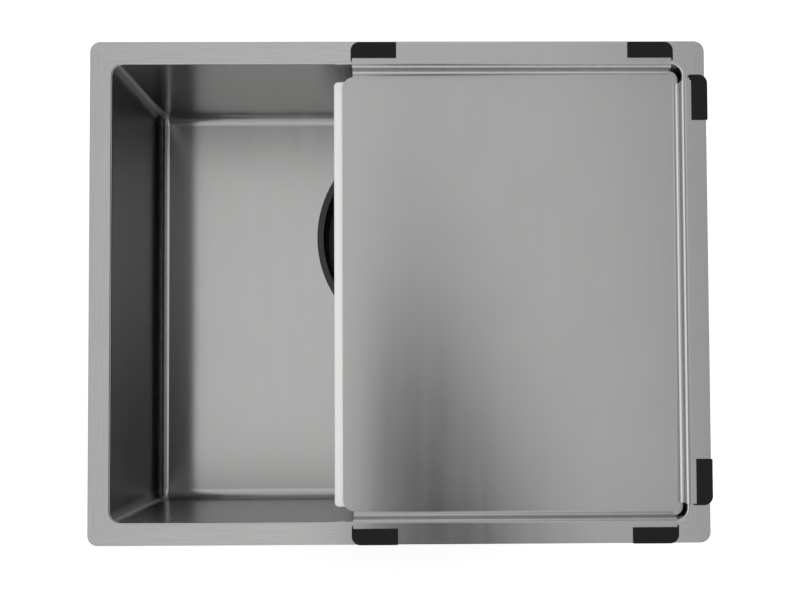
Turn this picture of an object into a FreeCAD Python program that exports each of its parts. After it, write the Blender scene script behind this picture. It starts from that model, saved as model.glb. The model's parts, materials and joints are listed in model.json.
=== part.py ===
import FreeCAD, Part
import math
import os

# Kitchen sink: a folded steel bowl with a flat rim, a hanging steel tray with a plastic board,
# a wide waste with its strainer basket, and an overflow behind the back wall.
# Millimetres. X runs to the right, Y to the back, Z up.
# The origin is the middle of the worktop opening, in the plane on which the rim rests.

# Bowl and the flat rim round it
sheet = 1.2
bowl_length = 501.0
bowl_width = 400.0
bowl_depth = 200.0
bowl_corner_r = 10.0
rim_flat = 20.0
rim_end_flat = 19.5
rim_corner_r = 9.0
rim_fold_r = 0.8

# Tray
tray_sheet = 1.2
tray_length = 299.6
tray_right_gap = 0.3
tray_side_gap = 2.0
tray_forward_share = 0.35
tray_drop = 13.0
tray_corner_r = 10.0
tray_open_end = 9.1
tray_corner_gap = 9.6
tray_right_end_gap = 12.6
tray_bed_fold_r = 5.0
tray_lip_fold_r = 3.0
lip_inset = 1.8
lip_right_proud = 0.5
lip_corner_r = 6.5

# Silicone sleeves on the ends of the lips
sleeve_floor = 1.5
sleeve_skin = 1.2
sleeve_length = 40.0
sleeve_reach = 12.8
sleeve_end_nub = 1.8
sleeve_edge = 0.5
sleeve_slip = 3.5

# Plastic board under the tray
board_thickness = 9.0
board_proud = 7.6
board_side_gap = 10.0
board_right_gap = 8.0
board_corner_r = 4.0
board_edge = 0.8
board_stud_r = 2.0
board_stud_inset = 30.0
board_stud_columns = 3
board_stud_rows = 2
board_nut_flat = 7.0
board_nut_height = 3.2
board_nut_recess_r = 5.0
board_nut_recess = 4.6
stud_clearance = 0.25

# Waste collar, clamped under a hole in the floor of the bowl
waste_x = 27.7
waste_back_gap = 15.2
waste_hole_r = 113.4
collar_gap = 0.5
collar_ring_width = 5.9
collar_below_floor = 0.3
collar_dish = 0.6
collar_gasket = 1.8
collar_gasket_width = 5.0
collar_flange_width = 14.6
collar_flange = 4.0
collar_neck_wall = 3.5
collar_neck = 15.0
collar_studs = 8
collar_stud_offset = 9.1
collar_stud_r = 2.5
collar_nut_flat = 8.0
collar_nut_height = 4.5

# Waste pot, held under the collar by a ring nut that screws over the collar's neck
pot_wall = 3.2
pot_gasket = 1.6
pot_throat_step = 3.0
pot_ledge_drop = 6.4
pot_ledge_width = 4.0
pot_straight = 32.0
pot_knee = 14.0
pot_floor_drop = 14.0
pot_seat_width = 12.0
thread_gap = 0.2
nut_clear = 0.3
ring_nut_wall = 3.2
ring_nut_gap = 2.0
ring_nut_grips = 16
ring_nut_grip_depth = 2.6
ring_nut_grip_width = 6.0

# Outlet tail, a flanged tube held in the floor of the pot by a nut
tail_r = 23.9
tail_wall = 3.9
tail_neck_step = 0.7
tail_neck_end = 1.0
tail_undercut = 0.9
tail_undercut_height = 2.0
tail_flange_width = 9.0
tail_flange = 2.4
tail_gasket = 1.6
tail_free_length = 27.0
tail_nut_wall = 5.0
tail_nut_height = 9.0
tail_nut_grips = 8
tail_nut_grip_depth = 2.0
tail_nut_grip_width = 5.0

# Strainer basket
basket_wall = 1.6
basket_rim_gap = 0.6
basket_rim_width = 9.4
basket_taper = 10.0
basket_depth = 38.0
basket_floor_bend_r = 7.0
basket_wall_slots = 24
basket_slot_width = 3.6
basket_slot_top = 8.0
basket_slot_bottom = 10.0
basket_floor_rings = 2
basket_floor_slots = 12
basket_slot_bridge = 7.0

# Bail handle of the basket, a bent wire between two ears that stand on the basket's rim
bail_r = 2.0
bail_rest_gap = 0.3
bail_corner_r = 66.0
bail_knee_r = 5.0
bail_end_gap = 19.4
ear_gap = 0.3
ear_inset = 10.6
ear_thickness = 4.0
ear_width = 11.0
ear_top_r = 5.0
bore_gap = 0.06

# Overflow in the back wall
overflow_x = 100.0
overflow_below_rim = 53.0
overflow_hole_length = 50.0
overflow_hole_height = 12.0
overflow_hole_side = 2.0
plate_thickness = 1.2
plate_length = 76.0
plate_height = 26.0
plate_corner_r = 4.0
plate_slot_length = 44.0
plate_slot_height = 7.0
plate_screw_spacing = 62.0
plate_screw_r = 2.0
plate_screw_head_r = 3.8
plate_screw_length = 14.0
plate_gasket = 2.0
housing_depth = 24.0
housing_wall = 2.4
housing_length = 60.0
housing_height = 22.0
housing_flange = 3.0
housing_corner_r = 5.0
housing_spigot = 20.0
screw_clearance = 0.2

# Overflow pipe and its two nuts
pipe_r = 11.0
pipe_wall = 1.6
pipe_bend_r = 26.0
pipe_socket_gap = 0.2
pipe_overlap = 14.0
inlet_below_ledge = 22.0
inlet_length = 22.0
nut_wall = 3.2
nut_length = 18.0
nut_ribs = 8
nut_rib_depth = 1.4
nut_rib_width = 3.0
seal_length = 4.0

# Sound pads and fixing rails on the outside of the bowl
pad_thickness = 3.0
pad_corner_r = 8.0
pad_top = 42.0
pad_height = 118.0
pad_end_gap = 45.0
pad_gap = 10.0
floor_pad_margin = 28.0
rail_sheet = 1.0
rail_below_rim = 9.0
rail_height = 14.0
rail_depth = 9.0
rail_lip = 3.0
rail_end_gap = 32.0

# Cuts, tolerances, turns and the share of a step by which a ring of studs is turned
overrun = 5.0
near = 0.001
full_turn = 360.0
right_angle = 90.0
hexagon_sides = 6
half_step_share = 0.5

# Levels and places worked out from the sizes above
rim_top = sheet
floor_top = rim_top - bowl_depth
floor_under = floor_top - sheet
wall_x = bowl_length / 2
wall_y = bowl_width / 2
rim_x = wall_x + rim_end_flat
rim_y = wall_y + rim_flat
skin_x = wall_x + sheet
skin_y = wall_y + sheet

lip_under = rim_top + sleeve_floor
lip_top = lip_under + tray_sheet
sleeve_top = lip_top + sleeve_skin
bed_top = lip_top - tray_drop
bed_under = bed_top - tray_sheet
tray_wall_x = wall_x - tray_right_gap
tray_wall_y = wall_y - tray_side_gap
tray_left = tray_wall_x - tray_length
tray_side_left = tray_left + tray_open_end
tray_side_right = tray_wall_x - tray_corner_gap
tray_right_half = tray_wall_y - tray_right_end_gap
lip_out_y = rim_y - lip_inset
lip_out_x = rim_x + lip_right_proud
tray_forward = tray_side_gap * tray_forward_share
bed_flat_x = tray_wall_x - tray_sheet - tray_bed_fold_r
bed_flat_y = tray_wall_y - tray_sheet - tray_bed_fold_r
bed_corner_x = tray_wall_x - tray_sheet
bed_corner_y = tray_wall_y - tray_sheet
bed_corner_r = tray_corner_gap - tray_sheet

board_top = bed_under
board_bottom = board_top - board_thickness
board_left = tray_left - board_proud
board_right = bed_flat_x - board_right_gap
board_half = tray_wall_y - board_side_gap

waste_y = wall_y - waste_back_gap - waste_hole_r
collar_r = waste_hole_r - collar_gap
collar_bore_r = collar_r - collar_ring_width
collar_flange_r = waste_hole_r + collar_flange_width
collar_stud_circle_r = waste_hole_r + collar_stud_offset
collar_top = floor_top - collar_below_floor
collar_seat = floor_under - collar_gasket
collar_flange_bottom = collar_seat - collar_flange
collar_neck_r = collar_bore_r + collar_neck_wall
collar_bottom = collar_flange_bottom - collar_neck
pot_flange_top = collar_bottom - pot_gasket
pot_flange_bottom = pot_flange_top - pot_wall
pot_throat_r = collar_bore_r - pot_throat_step
pot_bore_r = pot_throat_r - pot_ledge_width
pot_outer_r = pot_bore_r + pot_wall
pot_knee_r = pot_bore_r - pot_knee / 2
pot_ledge = pot_flange_top - pot_ledge_drop
pot_straight_bottom = pot_ledge - pot_straight
pot_knee_bottom = pot_straight_bottom - pot_knee
pot_floor = pot_knee_bottom - pot_floor_drop
pot_floor_under = pot_floor - pot_wall
ring_nut_r = collar_neck_r + thread_gap
ring_nut_top = collar_flange_bottom - ring_nut_gap
ring_nut_bottom = pot_flange_bottom - ring_nut_wall

tail_neck_r = tail_r + tail_neck_step
tail_hole_r = tail_neck_r + nut_clear
tail_flange_r = tail_neck_r + tail_flange_width
tail_flange_bottom = pot_floor + tail_gasket
tail_nut_bottom = pot_floor_under - tail_nut_height
tail_neck_bottom = tail_nut_bottom - tail_neck_end
tail_free_top = tail_neck_bottom - tail_undercut_height
tail_bottom = tail_free_top - tail_free_length

basket_rim_r = pot_throat_r - basket_rim_gap
basket_rim_top = pot_ledge + basket_wall
basket_rim_under = pot_ledge
basket_top_r = basket_rim_r - basket_rim_width
basket_floor_r = basket_top_r - basket_taper
basket_floor = basket_rim_top - basket_depth
basket_floor_under = basket_floor - basket_wall
bail_z = basket_rim_top + bail_r + bail_rest_gap
ear_inner = basket_rim_r - ear_inset
ear_outer = ear_inner + ear_thickness
bail_half_width = ear_inner - ear_gap - bail_knee_r
bail_reach = basket_rim_r - bail_end_gap

overflow_z = rim_top - overflow_below_rim
housing_face = skin_y + plate_gasket
pipe_y = housing_face + housing_flange + housing_depth / 2 - housing_wall / 2
spigot_r = pipe_r - pipe_wall - pipe_socket_gap
housing_bottom = overflow_z - plate_height / 2
nut_top = housing_bottom - pipe_socket_gap
pipe_top = nut_top - seal_length
inlet_z = pot_ledge - inlet_below_ledge

# Each side of the bowl: how far a piece made for the back is turned, its wall and its span
side_turn = {"back": 0, "left": right_angle, "front": 2 * right_angle, "right": -right_angle}
side_wall = {"back": skin_y, "left": skin_x, "front": skin_y, "right": skin_x}
side_span = {"back": bowl_length, "left": bowl_width, "front": bowl_length, "right": bowl_width}
lip_ends = {"back": ("left", "right"), "front": ("right", "left"), "right": ("back", "front")}


# Outlines
def corner_arc(before, corner, after, radius):
    """The start, middle and end of the arc that rounds one corner."""
    to_before = (before - corner).normalize()
    to_after = (after - corner).normalize()
    half = to_before.getAngle(to_after) / 2
    inward = (to_before + to_after).normalize()
    reach = radius / math.tan(half)
    middle = corner + inward * (radius / math.sin(half) - radius)
    return corner + to_before * reach, middle, corner + to_after * reach


def rounded_path(corners):
    """A closed wire through corners given as (point, radius), each rounded to its radius."""
    count = len(corners)
    stops = []
    for index, (point, radius) in enumerate(corners):
        if radius == 0:
            stops.append((point, None, point))
        else:
            stops.append(corner_arc(corners[index - 1][0], point, corners[(index + 1) % count][0], radius))
    edges = []
    for index, (start, middle, end) in enumerate(stops):
        if middle is not None:
            edges.append(Part.Arc(start, middle, end).toShape())
        following = stops[(index + 1) % count][0]
        if (following - end).Length > near:
            edges.append(Part.LineSegment(end, following).toShape())
    return Part.Wire(edges)


def flat_xy(points, z):
    return rounded_path([(FreeCAD.Vector(x, y, z), r) for x, y, r in points])


def flat_xz(points, y):
    return rounded_path([(FreeCAD.Vector(x, y, z), r) for x, z, r in points])


def flat_yz(points, x):
    return rounded_path([(FreeCAD.Vector(x, y, z), r) for y, z, r in points])


def raised(wire, direction):
    return Part.Face(wire).extrude(direction)


def along_x(length):
    return FreeCAD.Vector(length, 0, 0)


def along_y(length):
    return FreeCAD.Vector(0, length, 0)


def along_z(length):
    return FreeCAD.Vector(0, 0, length)


def rectangle(left, right, front, back, radius):
    return [(left, front, radius), (right, front, radius), (right, back, radius), (left, back, radius)]


def slab(left, right, front, back, bottom, top, radius):
    """A plate with rounded upright corners."""
    return raised(flat_xy(rectangle(left, right, front, back, radius), bottom), along_z(top - bottom))


def upright_plate(middle_x, middle_z, length, height, front, back, radius):
    """A plate that stands along X, with its corners rounded about Y."""
    half_x = length / 2
    half_z = height / 2
    outline = rectangle(middle_x - half_x, middle_x + half_x, middle_z - half_z, middle_z + half_z, radius)
    return raised(flat_xz(outline, front), along_y(back - front))


def turned(section, x, y):
    """A round piece about an upright axis, from a section of (radius, height, rounding)."""
    wire = flat_xz([(x + r, z, rounding) for r, z, rounding in section], y)
    return Part.Face(wire).revolve(FreeCAD.Vector(x, y, 0), FreeCAD.Vector(0, 0, 1), full_turn)


def ring(inner, outer, bottom, top, x, y):
    return turned([(inner, bottom, 0), (outer, bottom, 0), (outer, top, 0), (inner, top, 0)], x, y)


def rod(radius, start, end):
    return Part.makeCylinder(radius, (end - start).Length, start, end - start)


def bent_rod(radius, corners):
    """A round bar through points given as (point, bend radius)."""
    start = corners[0][0]
    pieces = []
    for index in range(1, len(corners) - 1):
        corner, bend = corners[index]
        arriving = (corner - corners[index - 1][0]).normalize()
        leaving = (corners[index + 1][0] - corner).normalize()
        turn = arriving.getAngle(leaving)
        bend_start = corner - arriving * bend * math.tan(turn / 2)
        axis = arriving.cross(leaving).normalize()
        disc = Part.Face(Part.Wire(Part.Circle(bend_start, arriving, radius).toShape()))
        pieces.append(rod(radius, start, bend_start))
        pieces.append(disc.revolve(bend_start + axis.cross(arriving) * bend, axis, math.degrees(turn)))
        start = corner + leaving * bend * math.tan(turn / 2)
    return rod(radius, start, corners[-1][0]).fuse(pieces)


def hexagon(across_flats, bore, bottom, height, x, y):
    """A nut with an upright axis."""
    corner = across_flats / 2 / math.cos(math.pi / hexagon_sides)
    points = []
    for side in range(hexagon_sides):
        angle = 2 * math.pi * side / hexagon_sides
        points.append((x + corner * math.cos(angle), y + corner * math.sin(angle), 0))
    body = raised(flat_xy(points, bottom), along_z(height))
    hole = rod(bore, FreeCAD.Vector(x, y, bottom - overrun), FreeCAD.Vector(x, y, bottom + height + overrun))
    return body.cut(hole)


def around(count, radius, x, y, first_share):
    """Places on a circle, the first turned by a share of one step."""
    places = []
    for index in range(count):
        angle = 2 * math.pi * (index + first_share) / count
        places.append((x + radius * math.cos(angle), y + radius * math.sin(angle), math.degrees(angle)))
    return places


def spokes(count, first_share, start_r, end_r, width, bottom, top):
    """Upright plates that stand out from the axis of the waste like spokes."""
    plates = []
    for x, y, turn in around(count, 0, waste_x, waste_y, first_share):
        corner = FreeCAD.Vector(x + start_r, y - width / 2, bottom)
        plate = Part.makeBox(end_r - start_r, width, top - bottom, corner)
        plate.rotate(FreeCAD.Vector(x, y, 0), FreeCAD.Vector(0, 0, 1), turn)
        plates.append(plate)
    return plates


def fillet_where(shape, radius, wanted):
    return shape.makeFillet(radius, [edge for edge in shape.Edges if wanted(edge)])


def lies_at_z(edge, z):
    return abs(edge.BoundBox.ZMin - z) < near and abs(edge.BoundBox.ZMax - z) < near


def lies_within(edge, half_x, half_y):
    box = edge.BoundBox
    return max(box.XMax, -box.XMin) < half_x and max(box.YMax, -box.YMin) < half_y


def facing(shape, side):
    """A piece made for the back of the sink, turned to one of its sides."""
    shape.rotate(FreeCAD.Vector(0, 0, 0), FreeCAD.Vector(0, 0, 1), side_turn[side])
    return shape


def save(shape, node):
    shape.exportStep(os.path.join("parts", node + ".step"))


# Bowl
def rounded_tub(half_x, half_y, bottom, top, radius):
    """A block with rounded upright corners and a rounded floor."""
    tub = Part.makeBox(2 * half_x, 2 * half_y, top - bottom, FreeCAD.Vector(-half_x, -half_y, bottom))

    def below_top(edge):
        return edge.BoundBox.ZMin < top - radius

    return fillet_where(tub, radius, below_top)


def overflow_hole(length, height, front, back):
    """A cutter with well rounded corners."""
    return upright_plate(overflow_x, overflow_z, length, height, front, back,
                         (height - overflow_hole_side) / 2)


def make_sink_bowl():
    rim = slab(-rim_x, rim_x, -rim_y, rim_y, 0, rim_top, rim_corner_r)
    outside = rounded_tub(skin_x, skin_y, floor_under, rim_top, bowl_corner_r + sheet)
    inside = rounded_tub(wall_x, wall_y, floor_top, rim_top + overrun, bowl_corner_r)
    bowl = rim.fuse(outside).removeSplitter().cut(inside)

    def fold_above(edge):
        return lies_at_z(edge, rim_top) and lies_within(edge, wall_x + rim_fold_r, wall_y + rim_fold_r)

    def fold_below(edge):
        return lies_at_z(edge, 0) and lies_within(edge, skin_x + rim_fold_r, skin_y + rim_fold_r)

    bowl = fillet_where(bowl, rim_fold_r + sheet, fold_above)
    bowl = fillet_where(bowl, rim_fold_r, fold_below)
    drain = rod(waste_hole_r, FreeCAD.Vector(waste_x, waste_y, floor_under - overrun),
                FreeCAD.Vector(waste_x, waste_y, floor_top + overrun))
    bowl = bowl.cut(drain)
    front = wall_y - overrun
    back = skin_y + overrun
    bowl = bowl.cut(overflow_hole(overflow_hole_length, overflow_hole_height, front, back))
    for x in overflow_screw_places():
        start = FreeCAD.Vector(x, front, overflow_z)
        bowl = bowl.cut(rod(plate_screw_r + screw_clearance, start, start + along_y(back - front)))
    return bowl


# Fixing rails, welded under the rim
def rail_section(wall):
    """The section of a rail on a wall at a given distance, as (outward, height) corners."""
    top = -rail_below_rim
    bottom = top - rail_height
    out = wall + rail_depth
    inner = out - rail_sheet
    upper = [(wall, top, 0), (out, top, rail_sheet), (out, top - rail_lip, 0), (inner, top - rail_lip, 0),
             (inner, top - rail_sheet, 0), (wall + rail_sheet, top - rail_sheet, 0)]
    lower = [(wall + rail_sheet, bottom + rail_sheet, 0), (inner, bottom + rail_sheet, 0),
             (inner, bottom + rail_lip, 0), (out, bottom + rail_lip, 0), (out, bottom, rail_sheet),
             (wall, bottom, 0)]
    return upper + lower


def make_fixing_rail(side):
    length = side_span[side] - 2 * rail_end_gap
    return facing(raised(flat_yz(rail_section(side_wall[side]), -length / 2), along_x(length)), side)


# Sound pads, glued to the outside of the bowl
def make_wall_pad(side):
    left = -side_span[side] / 2 + pad_end_gap
    right = -left
    if side == "back":
        right = overflow_x - plate_length / 2 - pad_gap
    top = -pad_top
    outline = rectangle(left, right, top - pad_height, top, pad_corner_r)
    return facing(raised(flat_xz(outline, side_wall[side]), along_y(pad_thickness)), side)


def make_floor_pad():
    """One pad, cut out round the collar."""
    reach_x = wall_x - floor_pad_margin
    reach_y = wall_y - floor_pad_margin
    bottom = floor_under - pad_thickness
    pad = slab(-reach_x, reach_x, -reach_y, reach_y, bottom, floor_under, pad_corner_r)
    start = FreeCAD.Vector(waste_x, waste_y, bottom - overrun)
    return pad.cut(rod(collar_flange_r + pad_gap, start, start + along_z(pad_thickness + 2 * overrun)))


# Tray
def folded_section(wall, lip_out, bed_end):
    """A bed, a wall and a lip folded from one sheet, as (outward, height) corners."""
    inner = wall - tray_sheet
    upper = [(bed_end, bed_top, 0), (inner, bed_top, tray_bed_fold_r),
             (inner, lip_top, tray_lip_fold_r + tray_sheet), (lip_out, lip_top, 0)]
    lower = [(lip_out, lip_under, 0), (wall, lip_under, tray_lip_fold_r),
             (wall, bed_under, tray_bed_fold_r + tray_sheet), (bed_end, bed_under, 0)]
    return upper + lower


def lip_trim(far_from, far_to, out, depth):
    """A cutter that rounds the two outer corners of a lip, for a lip that runs along X."""
    keep = slab(far_from, far_to, out - depth, out, lip_under - overrun, lip_top + overrun, lip_corner_r)
    whole = slab(far_from - overrun, far_to + overrun, out - lip_corner_r, out + overrun,
                 lip_under - overrun, lip_top + overrun, 0)
    return whole.cut(keep)


def lip_run(side):
    """The first end, the last end and the outer edge of one lip, seen as on the back."""
    if side == "right":
        return -tray_right_half, tray_right_half, lip_out_x
    if side == "back":
        return tray_side_left, tray_side_right, lip_out_y
    return -tray_side_right, -tray_side_left, lip_out_y


def folded_side(side):
    """The wall and the lip on one side of the tray, with the strip of bed that they fold up from."""
    if side == "right":
        wall, bed_end = tray_wall_x, bed_flat_x - tray_corner_r
    else:
        wall, bed_end = tray_wall_y, bed_flat_y - tray_corner_r
    start, end, out = lip_run(side)
    strip = raised(flat_yz(folded_section(wall, out, bed_end), start), along_x(end - start))
    strip = strip.cut(lip_trim(start, end, out, out - wall))
    return facing(strip, side)


def board_stud_places():
    first_x = board_left + board_stud_inset
    last_x = board_right - board_stud_inset
    first_y = -board_half + board_stud_inset
    places = []
    for column in range(board_stud_columns):
        x = first_x + (last_x - first_x) * column / (board_stud_columns - 1)
        for row in range(board_stud_rows):
            y = first_y - 2 * first_y * row / (board_stud_rows - 1)
            places.append((x, y))
    return places


def bed_corner(side):
    """The flat corner of the bed between the ends of two folded sides, at the back or the front."""
    inner = side * tray_right_half
    outer = side * bed_corner_y
    outline = [(tray_side_right, inner, 0), (bed_corner_x, inner, 0), (bed_corner_x, outer, bed_corner_r),
               (tray_side_right, outer, 0)]
    return raised(flat_xy(outline, bed_under), along_z(tray_sheet))


def make_tray():
    bed = slab(tray_left, bed_flat_x, -bed_flat_y, bed_flat_y, bed_under, bed_top, tray_corner_r)
    sides = [folded_side(side) for side in lip_ends]
    return bed.fuse(sides + [bed_corner(1), bed_corner(-1)]).removeSplitter()


def make_board_studs():
    """Studs welded under the bed of the tray."""
    end = board_bottom + (board_nut_recess - board_nut_height) / 2
    studs = [rod(board_stud_r, FreeCAD.Vector(x, y, bed_under), FreeCAD.Vector(x, y, end))
             for x, y in board_stud_places()]
    return Part.makeCompound(studs)


# Board under the tray
def make_board():
    board = slab(board_left, board_right, -board_half, board_half, board_bottom, board_top, board_corner_r)
    edges = [edge for edge in board.Edges if lies_at_z(edge, board_bottom) or lies_at_z(edge, board_top)]
    board = board.makeChamfer(board_edge, edges)
    for x, y in board_stud_places():
        start = FreeCAD.Vector(x, y, board_bottom - overrun)
        hole = rod(board_stud_r + stud_clearance, start, start + along_z(board_thickness + 2 * overrun))
        recess = rod(board_nut_recess_r, start, start + along_z(board_nut_recess + overrun))
        board = board.cut(hole.fuse(recess))
    return board


def make_board_nuts():
    bottom = board_bottom + board_nut_recess - board_nut_height
    nuts = [hexagon(board_nut_flat, board_stud_r + bore_gap, bottom, board_nut_height, x, y)
            for x, y in board_stud_places()]
    return Part.makeCompound(nuts)


# Silicone sleeves
def sleeve_block():
    """A sleeve for the far end of a lip that runs along +X from the origin, its outer edge on +Y."""
    end = -sleeve_skin
    inner_end = sleeve_length - sleeve_skin
    outer = sleeve_skin
    corner = lip_corner_r + sleeve_skin
    nub = -sleeve_reach - sleeve_end_nub
    points = [(end, outer, corner), (end, nub, 0), (0, nub, 0), (0, -sleeve_reach, 0),
              (inner_end, -sleeve_reach, 0), (inner_end, outer, 2 * sleeve_edge)]
    block = raised(flat_xy(points, rim_top), along_z(sleeve_top - rim_top))
    block = block.makeChamfer(sleeve_edge, [edge for edge in block.Edges if lies_at_z(edge, sleeve_top)])
    lip = [(0, -sleeve_length, 0), (0, 0, lip_corner_r), (sleeve_length, 0, 0),
           (sleeve_length, -sleeve_length, 0)]
    return block.cut(raised(flat_xy(lip, lip_under), along_z(tray_sheet)))


def make_sleeve(side, end):
    """A sleeve at one end of one lip, mirrored where the lip's far end is the other way."""
    sleeve = sleeve_block()
    first_end, last_end, out = lip_run(side)
    if side == "right" and end == "first":
        first_end = first_end - sleeve_slip
    if end == "last":
        sleeve = sleeve.mirror(FreeCAD.Vector(0, 0, 0), FreeCAD.Vector(1, 0, 0))
        sleeve.translate(FreeCAD.Vector(last_end, out, 0))
    else:
        sleeve.translate(FreeCAD.Vector(first_end, out, 0))
    return facing(sleeve, side)


# Waste collar
def collar_stud_places():
    return [(x, y) for x, y, turn in around(collar_studs, collar_stud_circle_r, waste_x, waste_y, half_step_share)]


def make_waste_collar():
    section = [(collar_bore_r, collar_top - collar_dish, 0), (collar_r, collar_top, 0),
               (collar_r, collar_seat, 0), (collar_flange_r, collar_seat, 0),
               (collar_flange_r, collar_flange_bottom, 0), (collar_neck_r, collar_flange_bottom, 0),
               (collar_neck_r, collar_bottom, 0), (collar_bore_r, collar_bottom, 0)]
    collar = turned(section, waste_x, waste_y)
    for x, y in collar_stud_places():
        start = FreeCAD.Vector(x, y, collar_flange_bottom - overrun)
        end = start + along_z(collar_flange + 2 * overrun)
        collar = collar.cut(rod(collar_stud_r + stud_clearance, start, end))
    return collar


def make_collar_gasket():
    return ring(waste_hole_r, waste_hole_r + collar_gasket_width, collar_seat, floor_under, waste_x, waste_y)


def make_collar_studs():
    """Studs welded under the floor of the bowl, on which the collar hangs."""
    end = collar_flange_bottom - collar_nut_height - collar_stud_r
    studs = [rod(collar_stud_r, FreeCAD.Vector(x, y, floor_under), FreeCAD.Vector(x, y, end))
             for x, y in collar_stud_places()]
    return Part.makeCompound(studs)


def make_collar_nuts():
    bottom = collar_flange_bottom - collar_nut_height
    nuts = [hexagon(collar_nut_flat, collar_stud_r + bore_gap, bottom, collar_nut_height, x, y)
            for x, y in collar_stud_places()]
    return Part.makeCompound(nuts)


# Waste pot
def inlet_direction():
    """The level direction from the middle of the pot to the overflow pipe."""
    return FreeCAD.Vector(overflow_x - waste_x, pipe_y - waste_y, 0).normalize()


def inlet_point(distance):
    middle = FreeCAD.Vector(waste_x, waste_y, inlet_z)
    return middle + inlet_direction() * distance


def make_waste_pot():
    """A deep cup with a flange at its mouth, a ledge for the basket and a hole for the tail."""
    throat_outer_r = pot_throat_r + pot_wall
    seat_r = tail_hole_r + pot_seat_width
    outside = [(pot_throat_r, pot_flange_top, 0), (collar_neck_r, pot_flange_top, 0),
               (collar_neck_r, pot_flange_bottom, 0), (throat_outer_r, pot_flange_bottom, 0),
               (throat_outer_r, pot_ledge - pot_wall, 0), (pot_outer_r, pot_ledge - pot_wall, 0),
               (pot_outer_r, pot_straight_bottom, 0),
               (pot_knee_r + pot_wall / 2, pot_knee_bottom - pot_wall, 0),
               (seat_r + pot_wall, pot_floor_under, 0), (tail_hole_r, pot_floor_under, 0)]
    inside = [(tail_hole_r, pot_floor, 0), (seat_r, pot_floor, 0), (pot_knee_r, pot_knee_bottom, 0),
              (pot_bore_r, pot_straight_bottom, 0), (pot_bore_r, pot_ledge, 0), (pot_throat_r, pot_ledge, 0)]
    pot = turned(outside + inside, waste_x, waste_y)
    spigot = rod(spigot_r, inlet_point(pot_bore_r + pot_wall / 2), inlet_point(pot_outer_r + inlet_length))
    bore_end = inlet_point(pot_outer_r + inlet_length + overrun)
    return pot.fuse(spigot).cut(rod(spigot_r - pipe_wall, inlet_point(pot_knee_r), bore_end))


def make_pot_gasket():
    return ring(pot_throat_r, collar_neck_r, pot_flange_top, collar_bottom, waste_x, waste_y)


def make_ring_nut():
    """A wide nut with grips, whose lower lip lifts the flange of the pot."""
    outer = ring_nut_r + ring_nut_wall
    lip_r = pot_throat_r + pot_wall + nut_clear
    section = [(ring_nut_r, ring_nut_top, 0), (outer, ring_nut_top, 0), (outer, ring_nut_bottom, 0),
               (lip_r, ring_nut_bottom, 0), (lip_r, pot_flange_bottom, 0), (ring_nut_r, pot_flange_bottom, 0)]
    grips = spokes(ring_nut_grips, 0, ring_nut_r + ring_nut_wall / 2, outer + ring_nut_grip_depth,
                   ring_nut_grip_width, ring_nut_bottom, ring_nut_top)
    return turned(section, waste_x, waste_y).fuse(grips)


# Outlet tail
def make_outlet_tail():
    """A tube with a flange, a neck for its nut, an undercut and a free end for the trap."""
    flange_top = tail_flange_bottom + tail_flange
    bore_r = tail_r - tail_wall
    groove_r = tail_r - tail_undercut
    section = [(bore_r, tail_bottom, 0), (tail_r, tail_bottom, 0), (tail_r, tail_free_top, 0),
               (groove_r, tail_free_top, 0), (groove_r, tail_neck_bottom, 0),
               (tail_neck_r, tail_neck_bottom, 0), (tail_neck_r, tail_flange_bottom, 0),
               (tail_flange_r, tail_flange_bottom, 0), (tail_flange_r, flange_top, 0), (bore_r, flange_top, 0)]
    return turned(section, waste_x, waste_y)


def make_tail_gasket():
    return ring(tail_hole_r, tail_flange_r, pot_floor, tail_flange_bottom, waste_x, waste_y)


def make_tail_nut():
    inner = tail_neck_r + thread_gap
    outer = inner + tail_nut_wall
    grips = spokes(tail_nut_grips, 0, inner + tail_nut_wall / 2, outer + tail_nut_grip_depth,
                   tail_nut_grip_width, tail_nut_bottom, pot_floor_under)
    return ring(inner, outer, tail_nut_bottom, pot_floor_under, waste_x, waste_y).fuse(grips)


# Strainer basket
def ear(side):
    """One upright ear on the rim of the basket, with the bore for a pin of the bail."""
    inner = waste_y + side * ear_inner
    outer = waste_y + side * ear_outer
    top = bail_z + ear_top_r
    outline = [(waste_x - ear_width / 2, basket_rim_under, 0), (waste_x + ear_width / 2, basket_rim_under, 0),
               (waste_x + ear_width / 2, top, ear_top_r), (waste_x - ear_width / 2, top, ear_top_r)]
    plate = raised(flat_xz(outline, inner), along_y(outer - inner))
    bore = rod(bail_r + bore_gap, FreeCAD.Vector(waste_x, inner - side * overrun, bail_z),
               FreeCAD.Vector(waste_x, outer + side * overrun, bail_z))
    return plate.cut(bore)


def basket_floor_cutters():
    """Rings of radial slots in the floor, each ring with one count of slots more than the ring inside it."""
    flat_r = basket_floor_r - basket_floor_bend_r
    step = (flat_r - basket_slot_bridge) / basket_floor_rings
    cutters = []
    for row in range(basket_floor_rings):
        start_r = basket_slot_bridge + step * row + basket_slot_bridge
        end_r = basket_slot_bridge + step * (row + 1)
        count = basket_floor_slots * (row + 1)
        cutters += spokes(count, 0, start_r, end_r, basket_slot_width, basket_floor_under - overrun,
                          basket_floor + overrun)
    return cutters


def make_strainer_basket():
    section = [(basket_rim_r, basket_rim_top, 0), (basket_rim_r, basket_rim_under, 0),
               (basket_top_r, basket_rim_under, 0),
               (basket_floor_r, basket_floor_under, basket_floor_bend_r), (0, basket_floor_under, 0),
               (0, basket_floor, 0),
               (basket_floor_r - basket_wall, basket_floor, basket_floor_bend_r - basket_wall),
               (basket_top_r - basket_wall, basket_rim_top, 0)]
    basket = turned(section, waste_x, waste_y)
    slots = spokes(basket_wall_slots, half_step_share, basket_floor_r - basket_floor_bend_r - basket_wall,
                   basket_rim_r, basket_slot_width, basket_floor + basket_slot_bottom,
                   basket_rim_top - basket_slot_top)
    basket = basket.cut(Part.makeCompound(slots)).cut(Part.makeCompound(basket_floor_cutters()))
    return basket.fuse([ear(1), ear(-1)])


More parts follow.
